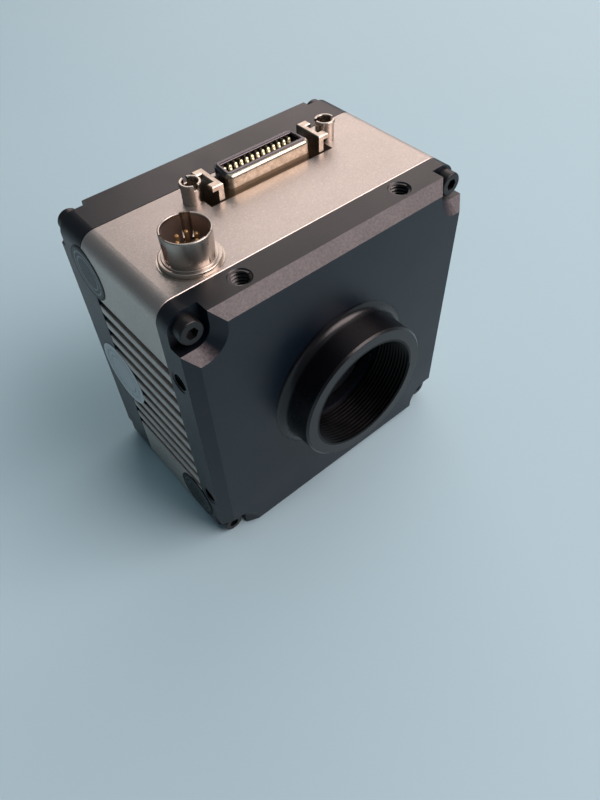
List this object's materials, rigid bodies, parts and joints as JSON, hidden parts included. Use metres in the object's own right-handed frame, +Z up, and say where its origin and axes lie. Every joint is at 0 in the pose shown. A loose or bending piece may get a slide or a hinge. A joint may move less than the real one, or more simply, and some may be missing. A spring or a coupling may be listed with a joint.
{
  "type": "machine vision camera",
  "caption": "Square metal machine vision camera with a threaded lens mount in front, cooling grooves on its sides, and power and data connectors on top.",
  "frame": {"origin": "on the optical axis, at the front rim of the lens mount ring", "axes": "+Z up through the connector face, +X to the right seen from the lens side, -Y out of the lens mount"},
  "size_m": [0.0651, 0.0494, 0.0711],
  "materials": {
    "anodised_black": "satin black anodised, finely blasted",
    "anodised_silver": "satin silver, finely blasted",
    "black_screw": "black oxide",
    "plain_screw": "zinc plated",
    "gasket_black": "matte",
    "filter_glass": "coated, clear",
    "retainer_black": "matte black anodised",
    "ceramic_grey": "matte",
    "silicon": "polished",
    "lid_glass": "clear",
    "board_green": "satin solder resist",
    "moulded_black": "matte",
    "moulded_brown": "matte",
    "chip_black": "matte",
    "pad_grey": "matte",
    "bridge_aluminium": "plain",
    "ferrite": "matte",
    "can_aluminium": "satin",
    "nickel_steel": "nickel plated",
    "nickel_brass": "nickel plated",
    "gold": "gold plated",
    "seal_grey": "semi gloss film",
    "seal_light": "semi gloss film"
  },
  "bodies": {
    "root": {"front_plate": "anodised_black", "rear_plate": "anodised_black", "lens_mount_ring": "anodised_black", "housing": "anodised_silver", "front_screws": "black_screw", "rear_screws": "black_screw", "lens_ring_screws": "black_screw", "board_screws": "plain_screw", "jack_nuts": "plain_screw", "sensor_standoffs": "plain_screw", "board_spacers": "plain_screw", "io_spacers": "plain_screw", "filter_gasket": "gasket_black", "filter_glass": "filter_glass", "filter_retainer": "retainer_black", "sensor_package": "ceramic_grey", "sensor_die": "silicon", "sensor_lid": "lid_glass", "sensor_board": "board_green", "processing_board": "board_green", "io_board": "board_green", "power_board": "board_green", "sensor_link_socket": "moulded_black", "sensor_link_plug": "moulded_black", "io_link_socket": "moulded_black", "io_link_plug": "moulded_black", "power_link": "moulded_black", "data_insulator": "moulded_black", "power_insert": "moulded_brown", "processor_chip": "chip_black", "memory_chips": "chip_black", "driver_chips": "chip_black", "thermal_pad": "pad_grey", "heat_bridge": "bridge_aluminium", "power_coil": "ferrite", "capacitors": "can_aluminium", "data_shell": "nickel_steel", "latch_ear_left": "nickel_steel", "latch_ear_right": "nickel_steel", "jack_post_left": "nickel_brass", "jack_post_right": "nickel_brass", "power_shell": "nickel_brass", "power_washer": "nickel_brass", "power_nut": "nickel_brass", "data_contacts": "gold", "power_pins": "gold", "seal_upper": "seal_grey", "seal_low": "seal_grey", "seal_middle": "seal_light"}
  },
  "joints": []
}
